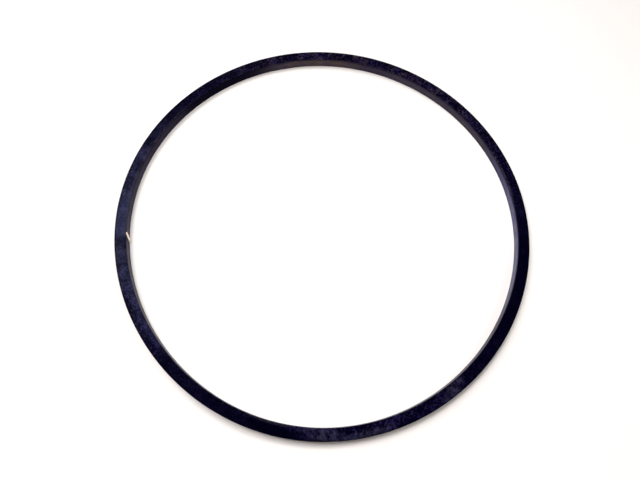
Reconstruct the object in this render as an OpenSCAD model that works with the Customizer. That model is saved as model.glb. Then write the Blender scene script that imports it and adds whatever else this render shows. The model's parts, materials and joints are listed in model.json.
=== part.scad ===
// Square-cut sealing ring, moulded in one piece from black rubber.
// It lies flat: Z is the ring's axis, and its bottom face is at Z = 0. Millimetres.

/* [Ring] */
// Diameter of the hole through the relaxed ring
bore_d = 123.4; // [20:0.1:300]
// Width of the section, from the bore to the outside
section_w = 3.53; // [1.5:0.01:8]
// Height of the section, along the ring's axis
section_h = 3.53; // [1.5:0.01:8]
// Radius of the section's four edges
edge_r = 0.2; // [0.05:0.01:0.5]

/* [Nick in the bore wall] */
// Place of the nick round the ring, counted from +X
nick_angle = 193; // [0:1:359]
// Width of the round-bottomed nick
nick_w = 1.4; // [0.4:0.1:2]
// How deep the nick bites into the bore wall
nick_depth = 0.4; // [0.1:0.05:1]
// Slant of the nick, from straight up and down
nick_lean = 24; // [0:1:45]

/* [Hidden] */
$fn = 180;

bore_r = bore_d / 2;
nick_r = nick_w / 2;

// The flat-sided section with its small edge radii, drawn at the bore's wall
module section() {
    inset = edge_r;
    union() {
        translate([bore_r + inset, 0]) square([section_w - 2 * inset, section_h]);
        translate([bore_r, inset]) square([section_w, section_h - 2 * inset]);
        for (x = [inset, section_w - inset], y = [inset, section_h - inset])
            translate([bore_r + x, y]) circle(r = edge_r);
    }
}

// A round cutter that leans round the wall and runs out through both faces
module nick() {
    rotate(nick_angle)
        translate([bore_r + nick_depth - nick_r, 0, section_h / 2])
            rotate([nick_lean, 0, 0])
                cylinder(r = nick_r, h = 2 * section_h, center = true);
}

module ring() {
    color("#17151f")
        difference() {
            rotate_extrude() section();
            nick();
        }
}

ring();
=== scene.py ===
"""Square-cut sealing ring of black rubber, lying on a pale studio floor.

Lengths are in metres. The ring's axis is Z, and it lies on its bottom face at Z = 0.
"""

import json
import math

import bmesh
import bpy
from mathutils import Euler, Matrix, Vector


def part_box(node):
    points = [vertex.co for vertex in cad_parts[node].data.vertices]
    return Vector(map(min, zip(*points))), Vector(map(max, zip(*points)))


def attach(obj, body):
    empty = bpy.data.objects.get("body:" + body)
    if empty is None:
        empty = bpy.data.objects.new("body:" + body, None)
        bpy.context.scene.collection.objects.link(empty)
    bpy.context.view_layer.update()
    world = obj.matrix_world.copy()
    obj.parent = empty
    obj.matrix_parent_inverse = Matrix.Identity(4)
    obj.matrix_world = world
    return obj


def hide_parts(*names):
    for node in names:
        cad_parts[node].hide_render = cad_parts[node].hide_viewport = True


MM = 0.001

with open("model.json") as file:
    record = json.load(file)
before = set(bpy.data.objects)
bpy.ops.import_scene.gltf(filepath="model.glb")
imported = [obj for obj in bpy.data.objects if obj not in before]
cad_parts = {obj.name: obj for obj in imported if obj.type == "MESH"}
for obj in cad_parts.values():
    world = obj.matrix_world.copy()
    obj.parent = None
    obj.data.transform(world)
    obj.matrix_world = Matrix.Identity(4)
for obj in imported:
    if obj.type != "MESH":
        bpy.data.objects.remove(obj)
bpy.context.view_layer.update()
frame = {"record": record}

# ---------------------------------------------------------------- sizes

MOUNTS = {mount["name"]: mount for mount in frame["record"]["mounts"]}
BORE_R = MOUNTS["bore"]["dims"]["r_mm"] * MM
OUTSIDE_R = MOUNTS["outside"]["dims"]["r_mm"] * MM
FLAT_WALL = MOUNTS["bore"]["dims"]["length_mm"] * MM
WIDTH = OUTSIDE_R - BORE_R
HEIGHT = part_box("ring")[1].z
EDGE_R = (HEIGHT - FLAT_WALL) / 2

# The nick in the bore wall, as the frame's ring has it
NICK_ANGLE = math.radians(193)
NICK_WIDTH = 1.4 * MM
NICK_DEPTH = 0.4 * MM
NICK_LEAN = math.radians(24)


# ---------------------------------------------------------------- node helpers

def add_node(tree, kind, inputs=None, **settings):
    """Adds a node. Inputs maps a socket's name or number to a value or to another node's output."""
    new = tree.nodes.new(kind)
    for name, value in settings.items():
        setattr(new, name, value)
    for key, value in (inputs or {}).items():
        if isinstance(value, bpy.types.NodeSocket):
            tree.links.new(value, new.inputs[key])
        else:
            new.inputs[key].default_value = value
    return new


def calc(tree, operation, *terms, clamp=False):
    """A Math node's result. Each term is a number or another node's output."""
    return add_node(
        tree, "ShaderNodeMath", dict(enumerate(terms)), operation=operation, use_clamp=clamp
    ).outputs[0]


def times(tree, first, second):
    """Two values multiplied."""
    return calc(tree, "MULTIPLY", first, second)


def fade(tree, value, start, end):
    """0 where value is at start, 1 where it is at end, and smooth between them."""
    return add_node(
        tree,
        "ShaderNodeMapRange",
        {"Value": value, "From Min": start, "From Max": end},
        interpolation_type="SMOOTHSTEP",
    ).outputs["Result"]


def noise(tree, place, size, detail=3.0, roughness=0.55, seed=0.0):
    """Soft noise from 0 to 1 whose blotches are about size metres across."""
    return add_node(
        tree,
        "ShaderNodeTexNoise",
        {"Vector": place, "W": seed, "Scale": 1 / size, "Detail": detail, "Roughness": roughness},
        noise_dimensions="4D",
    ).outputs[0]


def blend_colour(tree, share, first, second):
    """A colour that goes from first to second as share goes from 0 to 1."""
    return add_node(
        tree, "ShaderNodeMix", {0: share, 6: first, 7: second}, data_type="RGBA", clamp_factor=True
    ).outputs[2]


def blend_number(tree, share, first, second):
    """A value that goes from first to second as share goes from 0 to 1."""
    return add_node(tree, "ShaderNodeMix", {0: share, 2: first, 3: second}, data_type="FLOAT").outputs[0]


def new_material(name):
    """A material with an empty tree, its Principled shader and its output."""
    material = bpy.data.materials.new(name)
    material.use_nodes = True
    tree = material.node_tree
    tree.nodes.clear()
    shader = tree.nodes.new("ShaderNodeBsdfPrincipled")
    output = tree.nodes.new("ShaderNodeOutputMaterial")
    tree.links.new(shader.outputs[0], output.inputs["Surface"])
    return material, tree, shader


# ---------------------------------------------------------------- rubber

INK = (0.0003, 0.0001, 0.0036, 1)
NAVY = (0.009, 0.006, 0.036, 1)
VIOLET = (0.037, 0.026, 0.041, 1)
PAINTED_SHEEN = (0.025, 0.026, 0.076, 1)
SPECK = (0.075, 0.071, 0.098, 1)
BLOOM = (0.050, 0.047, 0.085, 1)
SCRATCH = (0.090, 0.088, 0.130, 1)
BAND_GREY = (0.030, 0.026, 0.042, 1)
WALL = (0.016, 0.011, 0.026, 1)
PAINTED_LAVENDER_SHEEN = (0.026, 0.026, 0.100, 1)
PAINTED_SLATE_SHEEN = (0.024, 0.022, 0.040, 1)
BROWN_TINT = (0.028, 0.017, 0.014, 1)
STAIN = (0.090, 0.038, 0.030, 1)
STRAW = (0.82, 0.73, 0.66, 1)
STRAW_STREAK = (0.60, 0.46, 0.34, 1)
STRAW_SIDE_SHADE = (0.22, 0.10, 0.05, 1)


def rub_mark_group():
    """A soft mark on the ring, as a mask: a patch of bloom, a scuff, a scratch, or a stretch of painted
    sheen or painted shade.

    It is centred at Angle round the ring and at Across over the section, and is Reach long
    each way round the ring and Spread wide each way over the section.
    """
    tree = bpy.data.node_groups.new("rub_mark", "ShaderNodeTree")
    for name, kind in (
        ("Place", "NodeSocketVector"),
        ("Level", "NodeSocketFloat"),
        ("Angle", "NodeSocketFloat"),
        ("Across", "NodeSocketFloat"),
        ("Reach", "NodeSocketFloat"),
        ("Spread", "NodeSocketFloat"),
        ("Slant", "NodeSocketFloat"),
    ):
        tree.interface.new_socket(name, in_out="INPUT", socket_type=kind)
    tree.interface.new_socket("Mask", in_out="OUTPUT", socket_type="NodeSocketFloat")
    given = tree.nodes.new("NodeGroupInput").outputs
    turned = add_node(
        tree,
        "ShaderNodeVectorRotate",
        {"Vector": given["Place"], "Angle": times(tree, given["Angle"], -1.0)},
        rotation_type="Z_AXIS",
    ).outputs[0]
    parts = add_node(tree, "ShaderNodeSeparateXYZ", {0: turned}).outputs
    away = calc(tree, "ARCTAN2", parts["Y"], parts["X"])
    along = calc(tree, "DIVIDE", away, given["Reach"])
    drift = times(tree, along, given["Slant"])
    centre = calc(tree, "ADD", given["Across"], drift)
    over = calc(tree, "DIVIDE", calc(tree, "SUBTRACT", given["Level"], centre), given["Spread"])
    squared = calc(tree, "ADD", calc(tree, "POWER", along, 2.0), calc(tree, "POWER", over, 2.0))
    mask = fade(tree, squared, 1.0, 0.0)
    result = tree.nodes.new("NodeGroupOutput")
    tree.links.new(mask, result.inputs["Mask"])
    return tree


def rub_mark(tree, group, place, level, degrees, across, reach, spread, slant=0.0):
    """One mark's mask: degrees and reach go round the ring, and the rest is in millimetres."""
    return add_node(
        tree,
        "ShaderNodeGroup",
        {
            "Place": place,
            "Level": level,
            "Angle": math.radians(degrees),
            "Across": across * MM,
            "Reach": math.radians(reach),
            "Spread": spread * MM,
            "Slant": slant * MM,
        },
        node_tree=group,
    ).outputs["Mask"]


def add_up(tree, masks):
    """The sum of several masks, held to 1."""
    total = masks[0]
    for mask in masks[1:]:
        total = calc(tree, "ADD", total, mask, clamp=True)
    return total


def rubber_material():
    """Blue-black rubber with a fine speckle, patches of pale bloom and a shinier bore wall."""
    material, tree, shader = new_material("black_rubber")
    place = add_node(tree, "ShaderNodeTexCoord").outputs["Object"]
    section = add_node(tree, "ShaderNodeAttribute", attribute_name="section").outputs["Vector"]
    parts = add_node(tree, "ShaderNodeSeparateXYZ", {0: section}).outputs
    across, up = parts["X"], parts["Z"]

    # A face's look sets in at one depth below its surface and is full at the next
    sets_in = 0.06 * MM
    is_full = 0.01 * MM
    top = fade(tree, up, HEIGHT - sets_in, HEIGHT - is_full)
    bore = fade(tree, across, sets_in, is_full)
    outer = fade(tree, across, WIDTH - sets_in, WIDTH - is_full)
    group = rub_mark_group()

    def on_face(*mark):
        """A mark on the faces: degrees, across, reach, spread and slant, as for rub_mark."""
        return rub_mark(tree, group, place, across, *mark)

    def all_over(degrees, reach):
        """A stretch of the ring from bore to outside."""
        return on_face(degrees, 1.8, reach, 9.0)

    def on_wall(degrees, reach, spread=4.0, height=1.8):
        """A mark on the bore wall, which takes in its whole height unless spread is given."""
        return rub_mark(tree, group, place, up, degrees, height, reach, spread)

    # Navy grain, with painted light that makes it violet on the far side and a painted sheen of bluish grey
    # on the left
    mottle = noise(tree, place, 1.6 * MM, seed=3)
    blotches = noise(tree, place, 5 * MM, detail=4, seed=14)
    clouds = noise(tree, place, 3 * MM, seed=12)
    far_side = times(tree, all_over(85, 62), fade(tree, clouds, 0.4, 0.6))
    left_side = all_over(186, 37)
    grain_colour = blend_colour(tree, times(tree, far_side, 0.8), NAVY, VIOLET)
    grain_colour = blend_colour(tree, times(tree, left_side, 0.9), grain_colour, PAINTED_SHEEN)

    # Grains all round, which turn to soft clouds of painted sheen on the left
    speckle = noise(tree, place, 0.6 * MM, detail=4, roughness=0.75, seed=8)
    grains = fade(tree, calc(tree, "ADD", speckle, times(tree, blotches, 0.3)), 0.63, 0.74)
    cloudy = fade(tree, calc(tree, "ADD", blotches, times(tree, mottle, 0.6)), 0.68, 1.14)
    cloudy = calc(tree, "MULTIPLY_ADD", cloudy, 0.6, times(tree, all_over(190, 13), 0.45))
    cloudy = calc(tree, "SUBTRACT", cloudy, times(tree, all_over(195.2, 2.8), 0.4), clamp=True)
    grains = blend_number(tree, times(tree, left_side, 0.75), grains, cloudy)

    # Painted shade: stretches with fewer grains, which makes them darker
    painted_shade_stretches = add_up(
        tree,
        [
            times(tree, add_up(tree, [all_over(345, 46), all_over(248, 28)]), 0.75),
            times(tree, add_up(tree, [all_over(140, 24), times(tree, all_over(350, 36), 0.4)]), 0.4),
            times(tree, all_over(154, 12), 0.35),
            times(tree, on_face(265, 2.5, 9, 2.2, 1.2), 0.75),
        ],
    )
    grains = times(tree, grains, calc(tree, "SUBTRACT", 1.0, painted_shade_stretches))
    colour = blend_colour(tree, grains, INK, grain_colour)
    dots = noise(tree, place, 0.8 * MM, detail=4, roughness=0.8, seed=31)
    specks = times(tree, fade(tree, dots, 0.58, 0.70), grains)
    colour = blend_colour(tree, specks, colour, SPECK)

    # A greyer band beside the bore, a mottled patch of painted sheen beside it, and a darker line along the
    # outer edge
    grey_band = add_up(tree, [on_face(166, 0.1, 30, 0.9), on_face(262, 0.1, 8, 0.8), on_face(22, 0.1, 13, 0.7)])
    colour = blend_colour(tree, times(tree, grey_band, calc(tree, "ADD", grains, 0.2)), colour, BAND_GREY)
    sheen_patch = times(tree, on_face(216, 0.1, 17, 2.4), calc(tree, "MULTIPLY_ADD", mottle, 0.38, 0.03))
    colour = blend_colour(tree, sheen_patch, colour, PAINTED_SHEEN)
    rim = fade(tree, across, WIDTH - 0.70 * MM, WIDTH - 0.20 * MM)
    colour = blend_colour(tree, times(tree, rim, 0.8), colour, INK)

    # Pale bloom on the top face, in broken patches
    patches = add_up(
        tree,
        [
            on_face(275.5, 1.3, 6.5, 2.4, 1.2),
            on_face(287, 2.7, 9, 1.5, -0.5),
            on_face(311.5, 1.9, 5.0, 2.2, -1.2),
            on_face(198.5, 1.8, 4.0, 1.8),
        ],
    )
    broken = fade(tree, noise(tree, place, 1.3 * MM, detail=5, roughness=0.8, seed=21), 0.42, 0.70)
    bloom = times(tree, times(tree, patches, broken), top)
    colour = blend_colour(tree, times(tree, bloom, 0.65), colour, BLOOM)

    # A short slanting scratch in two strokes, and a few light flecks
    scratches = add_up(
        tree,
        [
            on_face(179.2, 2.75, 0.8, 0.14, 0.55),
            on_face(180.3, 2.35, 0.5, 0.12, 0.3),
            on_face(217.3, 1.6, 0.16, 0.2),
            on_face(214.8, 2.4, 0.12, 0.14),
            on_face(187.1, 1.0, 0.14, 0.16),
            on_face(189.3, 0.9, 0.10, 0.12),
            on_face(208.0, 2.0, 0.10, 0.13),
            on_face(44.0, 1.1, 0.12, 0.15),
            on_face(31.5, 2.3, 0.10, 0.12),
        ],
    )
    colour = blend_colour(tree, times(tree, scratches, 0.8), colour, SCRATCH)

    # The bore wall is greyer, in part a painted reflection of the floor, with painted reflection in lavender
    # on the right and slate on the left; it is streaked along the ring and darkest under its top edge
    drawn_out = add_node(
        tree, "ShaderNodeVectorMath", {0: place, 1: (0.3, 0.3, 1.0)}, operation="MULTIPLY"
    ).outputs[0]
    streaks = fade(tree, noise(tree, drawn_out, 0.9 * MM, detail=4, roughness=0.75, seed=26), 0.3, 0.7)
    lower = fade(tree, up, HEIGHT - 0.2 * MM, HEIGHT * 0.65)
    shaded = add_up(tree, [times(tree, on_wall(133, 26), 0.9), calc(tree, "MULTIPLY_ADD", lower, -0.6, 0.6)])
    wall_colour = blend_colour(tree, times(tree, on_wall(3, 32), 0.8), WALL, PAINTED_LAVENDER_SHEEN)
    wall_colour = blend_colour(tree, on_wall(184, 22), wall_colour, PAINTED_SLATE_SHEEN)
    wall_colour = blend_colour(tree, shaded, wall_colour, INK)
    colour = blend_colour(tree, bore, colour, wall_colour)

    # A brown tint in streaky drifts along the far wall, and a stain beside the nick
    drifts = calc(tree, "MULTIPLY_ADD", streaks, 0.3, noise(tree, place, 7 * MM, seed=33))
    brown_patches = times(tree, times(tree, on_wall(101, 20), bore), fade(tree, drifts, 0.5, 0.75))
    colour = blend_colour(tree, brown_patches, colour, BROWN_TINT)
    crumbs = fade(tree, noise(tree, place, 0.7 * MM, detail=4, roughness=0.7, seed=17), 0.40, 0.62)
    stain = times(tree, times(tree, on_wall(191.5, 1.0, 1.5, 1.2), bore), crumbs)
    colour = blend_colour(tree, stain, colour, STAIN)
    tree.links.new(colour, shader.inputs["Base Color"])

    rough = calc(tree, "ADD", 0.30, times(tree, mottle, 0.15))
    rough = calc(tree, "ADD", rough, times(tree, bloom, 0.2), clamp=True)
    tree.links.new(rough, shader.inputs["Roughness"])
    shader.inputs["Specular IOR Level"].default_value = 0.008

    # The mould's polish: in brighter and duller stretches on the bore wall, and even elsewhere
    dull = add_up(
        tree, [on_wall(130, 20), times(tree, on_wall(160, 40), 0.74), times(tree, on_wall(80, 8), 0.5)]
    )
    polish = calc(tree, "ADD", 0.38, times(tree, on_wall(359, 26), 0.48))
    polish = times(tree, polish, calc(tree, "SUBTRACT", 1.0, dull))
    polish = times(tree, polish, calc(tree, "ADD", times(tree, streaks, 0.7), 0.6))
    polish = times(tree, polish, calc(tree, "MULTIPLY_ADD", lower, 0.65, 0.35))
    shine = times(tree, calc(tree, "SUBTRACT", 0.8, bloom, clamp=True), calc(tree, "ADD", grains, 0.3))
    shine = blend_number(tree, outer, shine, calc(tree, "ADD", times(tree, grains, 0.12), 0.2))
    tree.links.new(blend_number(tree, bore, shine, polish), shader.inputs["Coat Weight"])
    shader.inputs["Coat Roughness"].default_value = 0.3

    grain = noise(tree, place, 0.25 * MM, detail=4, seed=5)
    bump = add_node(tree, "ShaderNodeBump", {"Strength": 0.35, "Distance": 0.02 * MM, "Height": grain})
    tree.links.new(bump.outputs[0], shader.inputs["Normal"])
    return material


# ---------------------------------------------------------------- ring

def section_outline():
    """The ring's section as a closed line: the bore wall is at X = 0 and the bottom face at Y = 0.

    The bore wall has the most steps, because the nick is cut into it.
    """
    steps_in_edge = 6
    sides = (  # direction of travel, centre of the edge radius at its end, steps
        ((0, 1), (EDGE_R, HEIGHT - EDGE_R), 24),
        ((1, 0), (WIDTH - EDGE_R, HEIGHT - EDGE_R), 13),
        ((0, -1), (WIDTH - EDGE_R, EDGE_R), 11),
        ((-1, 0), (EDGE_R, EDGE_R), 9),
    )
    length = {0: WIDTH - 2 * EDGE_R, 1: HEIGHT - 2 * EDGE_R}
    points = []
    for (dx, dy), centre, steps in sides:
        span = length[0] if dx else length[1]
        out = Vector((-dy, dx)) * EDGE_R
        for i in range(steps):
            back = span * (1 - i / steps)
            points.append(Vector(centre) + out - Vector((dx, dy)) * back)
        for i in range(steps_in_edge):
            turn = math.pi / 2 * i / steps_in_edge
            arm = out * math.cos(turn) + Vector((dx, dy)) * EDGE_R * math.sin(turn)
            points.append(Vector(centre) + arm)
    curve = bpy.data.curves.new("section_outline", "CURVE")
    curve.dimensions = "3D"
    spline = curve.splines.new("POLY")
    spline.points.add(len(points) - 1)
    for slot, point in zip(spline.points, points):
        slot.co = (point.x, point.y, 0, 1)
    spline.use_cyclic_u = True
    outline = bpy.data.objects.new("section_outline", curve)
    bpy.context.scene.collection.objects.link(outline)
    return outline


def ring_tree():
    """Sweeps the section round the axis, then works the nick and the surface's relief into it."""
    tree = bpy.data.node_groups.new("moulded_ring", "GeometryNodeTree")
    for name, kind in (
        ("Section", "NodeSocketObject"),
        ("Steps Round", "NodeSocketInt"),
        ("Bore Radius", "NodeSocketFloat"),
        ("Height", "NodeSocketFloat"),
        ("Three Lobes", "NodeSocketFloat"),
        ("Four Lobes", "NodeSocketFloat"),
        ("Nick Angle", "NodeSocketFloat"),
        ("Nick Width", "NodeSocketFloat"),
        ("Nick Depth", "NodeSocketFloat"),
        ("Nick Lean", "NodeSocketFloat"),
        ("Relief", "NodeSocketFloat"),
        ("Relief Size", "NodeSocketFloat"),
        ("Seed", "NodeSocketInt"),
        ("Rubber", "NodeSocketMaterial"),
    ):
        tree.interface.new_socket(name, in_out="INPUT", socket_type=kind)
    tree.interface.new_socket("Mesh", in_out="OUTPUT", socket_type="NodeSocketGeometry")
    given = tree.nodes.new("NodeGroupInput").outputs

    # The path's points crowd together at the nick
    crowd_reach = 0.2
    crowd_share = 0.85
    path = add_node(
        tree,
        "GeometryNodeCurvePrimitiveCircle",
        {"Resolution": given["Steps Round"], "Radius": given["Bore Radius"]},
    ).outputs[0]
    index = tree.nodes.new("GeometryNodeInputIndex").outputs[0]
    share = calc(tree, "DIVIDE", index, given["Steps Round"])
    even = times(tree, calc(tree, "SUBTRACT", share, 0.5), 2 * math.pi)
    near = calc(tree, "DIVIDE", even, crowd_reach)
    hump = calc(tree, "EXPONENT", times(tree, times(tree, near, near), -1.0))
    crowded = calc(tree, "SUBTRACT", even, times(tree, times(tree, even, hump), crowd_share))
    path = add_node(
        tree,
        "GeometryNodeStoreNamedAttribute",
        {"Geometry": path, "Name": "turn", "Value": crowded},
        data_type="FLOAT",
        domain="POINT",
    ).outputs[0]

    outline = add_node(
        tree, "GeometryNodeObjectInfo", {"Object": given["Section"]}, transform_space="ORIGINAL"
    )
    spot = tree.nodes.new("GeometryNodeInputPosition").outputs[0]
    at = add_node(tree, "ShaderNodeSeparateXYZ", {0: spot}).outputs
    flat = add_node(tree, "ShaderNodeCombineXYZ", {"X": at["X"], "Z": at["Y"]}).outputs[0]
    profile = add_node(
        tree,
        "GeometryNodeStoreNamedAttribute",
        {"Geometry": outline.outputs["Geometry"], "Name": "section", "Value": flat},
        data_type="FLOAT_VECTOR",
        domain="POINT",
    ).outputs[0]
    body = add_node(tree, "GeometryNodeCurveToMesh", {"Curve": path, "Profile Curve": profile}).outputs[0]

    # Where each point is over the section and round the ring, counted from the nick
    turn = add_node(tree, "GeometryNodeInputNamedAttribute", {"Name": "turn"}, data_type="FLOAT").outputs[0]
    section = add_node(
        tree, "GeometryNodeInputNamedAttribute", {"Name": "section"}, data_type="FLOAT_VECTOR"
    ).outputs[0]
    parts = add_node(tree, "ShaderNodeSeparateXYZ", {0: section}).outputs
    across, up = parts["X"], parts["Z"]
    angle = calc(tree, "ADD", turn, given["Nick Angle"])

    # The nick: a round-bottomed groove that leans as it climbs
    middle = times(tree, given["Height"], 0.5)
    under = calc(tree, "SUBTRACT", middle, up)
    axis = times(tree, under, calc(tree, "TANGENT", given["Nick Lean"]))
    off_axis = calc(tree, "SUBTRACT", times(tree, turn, given["Bore Radius"]), axis)
    off_axis = times(tree, off_axis, calc(tree, "COSINE", given["Nick Lean"]))
    radius = times(tree, given["Nick Width"], 0.5)
    chord = calc(tree, "SUBTRACT", times(tree, radius, radius), times(tree, off_axis, off_axis))
    arch = calc(tree, "SQRT", calc(tree, "MAXIMUM", chord, 0.0))
    bite = calc(tree, "SUBTRACT", calc(tree, "ADD", arch, given["Nick Depth"]), radius)
    cut = calc(tree, "MAXIMUM", across, bite)

    # Soft rubber never lies quite round
    lobes = calc(
        tree,
        "ADD",
        times(tree, calc(tree, "SINE", times(tree, angle, 3.0)), given["Three Lobes"]),
        times(tree, calc(tree, "COSINE", times(tree, angle, 4.0)), given["Four Lobes"]),
    )
    reach = calc(tree, "ADD", calc(tree, "ADD", given["Bore Radius"], cut), lobes)
    spot = add_node(
        tree,
        "ShaderNodeCombineXYZ",
        {
            "X": times(tree, reach, calc(tree, "COSINE", angle)),
            "Y": times(tree, reach, calc(tree, "SINE", angle)),
            "Z": up,
        },
    ).outputs[0]
    body = add_node(tree, "GeometryNodeSetPosition", {"Geometry": body, "Position": spot}).outputs[0]

    # Relief left by the mould, with none below the bottom face
    spot = tree.nodes.new("GeometryNodeInputPosition").outputs[0]
    normal = tree.nodes.new("GeometryNodeInputNormal").outputs[0]
    swell = add_node(
        tree,
        "ShaderNodeTexNoise",
        {
            "Vector": spot,
            "W": given["Seed"],
            "Scale": calc(tree, "DIVIDE", 1.0, given["Relief Size"]),
            "Detail": 2.0,
        },
        noise_dimensions="4D",
    ).outputs[0]
    depth = times(tree, times(tree, swell, -1.0), given["Relief"])
    push = add_node(tree, "ShaderNodeVectorMath", {0: normal, "Scale": depth}, operation="SCALE").outputs[0]
    body = add_node(tree, "GeometryNodeSetPosition", {"Geometry": body, "Offset": push}).outputs[0]

    # Smooth all over, with hard lines only where the nick breaks the surface
    bend = tree.nodes.new("GeometryNodeInputMeshEdgeAngle").outputs[0]
    hard_bend = math.radians(40)
    gentle = add_node(
        tree, "FunctionNodeCompare", {0: bend, 1: hard_bend}, operation="LESS_THAN"
    ).outputs[0]
    body = add_node(
        tree, "GeometryNodeSetShadeSmooth", {"Geometry": body, "Shade Smooth": True}, domain="FACE"
    ).outputs[0]
    body = add_node(
        tree, "GeometryNodeSetShadeSmooth", {"Geometry": body, "Shade Smooth": gentle}, domain="EDGE"
    ).outputs[0]

    body = add_node(tree, "GeometryNodeRealizeInstances", {"Geometry": body}).outputs[0]
    done = add_node(
        tree, "GeometryNodeSetMaterial", {"Geometry": body, "Material": given["Rubber"]}
    ).outputs[0]
    result = tree.nodes.new("NodeGroupOutput")
    tree.links.new(done, result.inputs["Mesh"])
    return tree


def grown(name, tree, values):
    """A plain mesh object made by running a Geometry Nodes tree with these named inputs."""
    seedling = bpy.data.objects.new(name, bpy.data.meshes.new(name))
    bpy.context.scene.collection.objects.link(seedling)
    modifier = seedling.modifiers.new(name, "NODES")
    modifier.node_group = tree
    for item in tree.interface.items_tree:
        if item.item_type == "SOCKET" and item.in_out == "INPUT" and item.name in values:
            modifier[item.identifier] = values[item.name]
    evaluated = seedling.evaluated_get(bpy.context.evaluated_depsgraph_get())
    mesh = bpy.data.meshes.new_from_object(evaluated)
    mesh.name = name
    seedling.modifiers.clear()
    seedling.data = mesh
    return seedling


def ring():
    """The moulded ring, as one closed mesh."""
    outline = section_outline()
    body = grown(
        "rubber_ring",
        ring_tree(),
        {
            "Section": outline,
            "Steps Round": 1000,
            "Bore Radius": BORE_R,
            "Height": HEIGHT,
            "Three Lobes": 0.18 * MM,
            "Four Lobes": 0.08 * MM,
            "Nick Angle": NICK_ANGLE,
            "Nick Width": NICK_WIDTH,
            "Nick Depth": NICK_DEPTH,
            "Nick Lean": NICK_LEAN,
            "Relief": 0.02 * MM,
            "Relief Size": 3 * MM,
            "Seed": 4,
            "Rubber": rubber_material(),
        },
    )
    bpy.data.objects.remove(outline)
    return body


# ---------------------------------------------------------------- fleck

def straw_material():
    """Pale dry straw, streaked along its length."""
    material, tree, shader = new_material("dry_straw")
    along = add_node(tree, "ShaderNodeAttribute", attribute_name="along").outputs["Vector"]
    streaks = noise(tree, along, 1.0, detail=3, seed=2)
    colour = blend_colour(tree, fade(tree, streaks, 0.45, 0.75), STRAW, STRAW_STREAK)
    # Painted shade: darker brown along the sliver's two sides
    over = calc(tree, "ABSOLUTE", add_node(tree, "ShaderNodeSeparateXYZ", {0: along}).outputs["X"])
    colour = blend_colour(tree, fade(tree, over, 2.9, 4.0), colour, STRAW_SIDE_SHADE)
    tree.links.new(colour, shader.inputs["Base Color"])
    shader.inputs["Roughness"].default_value = 0.7
    shader.inputs["Specular IOR Level"].default_value = 0.3
    bump = add_node(tree, "ShaderNodeBump", {"Strength": 0.5, "Distance": 0.03 * MM, "Height": streaks})
    tree.links.new(bump.outputs[0], shader.inputs["Normal"])
    return material


def straw_fleck():
    """A sliver of straw caught in the nick: it hangs down the bore wall and leans as the nick does."""
    length_steps = 28
    round_steps = 14
    widest = 1.6 * MM
    thickest = 0.24 * MM
    shape = bmesh.new()
    streak = shape.verts.layers.float_vector.new("along")
    rings = []
    for i in range(length_steps + 1):
        share = i / length_steps
        climb = 0.10 * MM + (HEIGHT - 0.02 * MM) * share
        angle = NICK_ANGLE + math.radians(0.12) + math.radians(0.78) * (1 - 2 * share)
        # It sits deeper in the nick as it climbs, with a slight bend
        sunk = (0.30 * share - 0.42) * MM + 0.05 * MM * math.sin(5 * share)
        taper = min(1.0, math.sin(math.pi * (0.04 + 0.92 * share) ** 1.3) ** 0.6)
        half = widest / 2 * taper * (1 + 0.10 * math.sin(17 * share) + 0.06 * math.sin(41 * share + 1))
        deep = thickest / 2 * (0.35 + 0.65 * taper)
        out = Vector((math.cos(angle), math.sin(angle), 0))
        side = Vector((-math.sin(angle), math.cos(angle), 0))
        centre = out * (BORE_R + sunk) + Vector((0, 0, climb))
        loop = []
        for j in range(round_steps):
            turn = 2 * math.pi * j / round_steps
            crease = 1 + 0.25 * math.sin(3 * turn + 6 * share)
            point = centre + side * half * math.cos(turn) + out * deep * math.sin(turn) * crease
            vert = shape.verts.new(point)
            vert[streak] = (4 * math.cos(turn), share * 1.5, 4 * math.sin(turn))
            loop.append(vert)
        rings.append(loop)
    for low, high in zip(rings, rings[1:]):
        for j in range(round_steps):
            k = (j + 1) % round_steps
            shape.faces.new((low[j], low[k], high[k], high[j]))
    shape.faces.new(rings[0])
    shape.faces.new(rings[-1])
    bmesh.ops.recalc_face_normals(shape, faces=shape.faces)
    for face in shape.faces:
        face.smooth = True
    mesh = bpy.data.meshes.new("straw_fleck")
    shape.to_mesh(mesh)
    shape.free()
    mesh.materials.append(straw_material())
    sliver = bpy.data.objects.new("straw_fleck", mesh)
    bpy.context.scene.collection.objects.link(sliver)
    return sliver


# ---------------------------------------------------------------- studio

FLOOR_SHADE = 0.82


def floor():
    """A wide pale floor just under the ring."""
    half_size = 3.0
    gap = 0.01 * MM
    material, _, shader = new_material("pale_floor")
    shader.inputs["Base Color"].default_value = (FLOOR_SHADE, FLOOR_SHADE * 0.955, FLOOR_SHADE * 0.92, 1)
    shader.inputs["Roughness"].default_value = 0.9
    shader.inputs["Specular IOR Level"].default_value = 0.1
    mesh = bpy.data.meshes.new("floor")
    shape = bmesh.new()
    bmesh.ops.create_grid(shape, x_segments=1, y_segments=1, size=half_size)
    bmesh.ops.translate(shape, verts=shape.verts, vec=(0, 0, -gap))
    shape.to_mesh(mesh)
    shape.free()
    mesh.materials.append(material)
    plane = bpy.data.objects.new("floor", mesh)
    bpy.context.scene.collection.objects.link(plane)


def sky():
    """Light from all round that is bright low down and almost black overhead."""
    world = bpy.data.worlds.new("studio")
    bpy.context.scene.world = world
    world.use_nodes = True
    tree = world.node_tree
    tree.nodes.clear()
    way = add_node(tree, "ShaderNodeTexCoord").outputs["Generated"]
    height = add_node(tree, "ShaderNodeSeparateXYZ", {0: way}).outputs["Z"]
    dim = fade(tree, height, 0.25, 0.55)
    colour = blend_colour(tree, dim, (0.75, 0.73, 0.72, 1), (0.010, 0.010, 0.013, 1))
    background = add_node(tree, "ShaderNodeBackground", {"Color": colour, "Strength": 1.0})
    output = tree.nodes.new("ShaderNodeOutputWorld")
    tree.links.new(background.outputs[0], output.inputs["Surface"])


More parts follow.
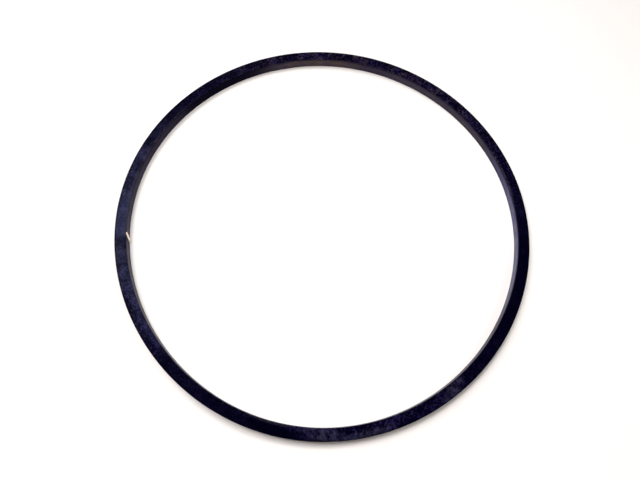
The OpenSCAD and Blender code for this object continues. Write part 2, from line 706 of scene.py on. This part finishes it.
def soft_box(name, place, size, share, mirrored=False, colour=(1, 1, 1)):
    """A square soft light aimed at the ring's centre, with place and size counted in ring radii.

    Share is how much of white the floor at the centre gets from it. Only a mirrored light
    shows as a sheen on the rubber.
    """
    lamp = bpy.data.lights.new(name, "AREA")
    lamp.size = size * OUTSIDE_R
    holder = bpy.data.objects.new(name, lamp)
    bpy.context.scene.collection.objects.link(holder)
    holder.location = Vector(place) * OUTSIDE_R
    away = holder.location.length
    holder.rotation_euler = holder.location.to_track_quat("Z", "Y").to_euler()
    holder.visible_glossy = mirrored
    lamp.color = colour
    lamp.energy = share * math.pi ** 2 * away ** 3 / (FLOOR_SHADE * holder.location.z)


def far_light(name, place, spread, share, colour=(1, 1, 1)):
    """Even light from far off in the direction of place, spread over so many degrees."""
    lamp = bpy.data.lights.new(name, "SUN")
    lamp.angle = math.radians(spread)
    holder = bpy.data.objects.new(name, lamp)
    bpy.context.scene.collection.objects.link(holder)
    holder.location = Vector(place) * OUTSIDE_R
    holder.rotation_euler = holder.location.to_track_quat("Z", "Y").to_euler()
    holder.visible_glossy = False
    lamp.color = colour
    lamp.energy = share * math.pi * holder.location.length / (FLOOR_SHADE * holder.location.z)


def lights():
    """Lamps near the lens, one dim sheen for the rubber, and a room's even light from far off."""
    soft_box("near_right", (0.35, 0.2, 2.2), 0.6, 0.24)
    soft_box("near_left", (-0.6, -0.6, 2.2), 0.6, 0.15)
    soft_box("ceiling", (-1.5, 0.9, 3.4), 1.0, 0.23)
    soft_box("sheen", (-6.4, 4.4, 13.0), 6.0, 0.028, mirrored=True, colour=(0.6, 0.66, 1.0))
    far_light("window", (-5.0, 4.0, 13.6), 22, 0.36)
    far_light("far_wall", (-10.6, 10.6, 8.7), 20, 0.12)
    far_light("near_wall", (0.0, -14.5, 3.9), 19, 0.10, colour=(1.0, 0.88, 0.84))
    far_light("right_wall", (10.0, 6.0, 10.0), 19, 0.11)


def camera():
    """A phone's wide lens held close over the ring, to the near side and turned a few degrees."""
    lens = bpy.data.cameras.new("camera")
    lens.sensor_width = 36
    lens.lens = 26.1
    lens.clip_start = 0.001
    holder = bpy.data.objects.new("camera", lens)
    bpy.context.scene.collection.objects.link(holder)
    rise = math.radians(68)
    roll = math.radians(6.27)
    radii_away = 2.308
    spot = Vector((0, -math.cos(rise), math.sin(rise))) * radii_away * OUTSIDE_R
    target = Vector((-0.010, -0.099, 0)) * OUTSIDE_R
    aim = (spot - target).to_track_quat("Z", "Y")
    holder.location = spot
    holder.rotation_euler = (aim @ Euler((0, 0, roll)).to_quaternion()).to_euler()
    bpy.context.scene.camera = holder


# ---------------------------------------------------------------- assembly

bpy.context.scene.view_settings.view_transform = "Standard"

camera()
sky()
lights()
floor()

body = ring()
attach(body, "root")
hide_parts("ring")

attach(straw_fleck(), "root")
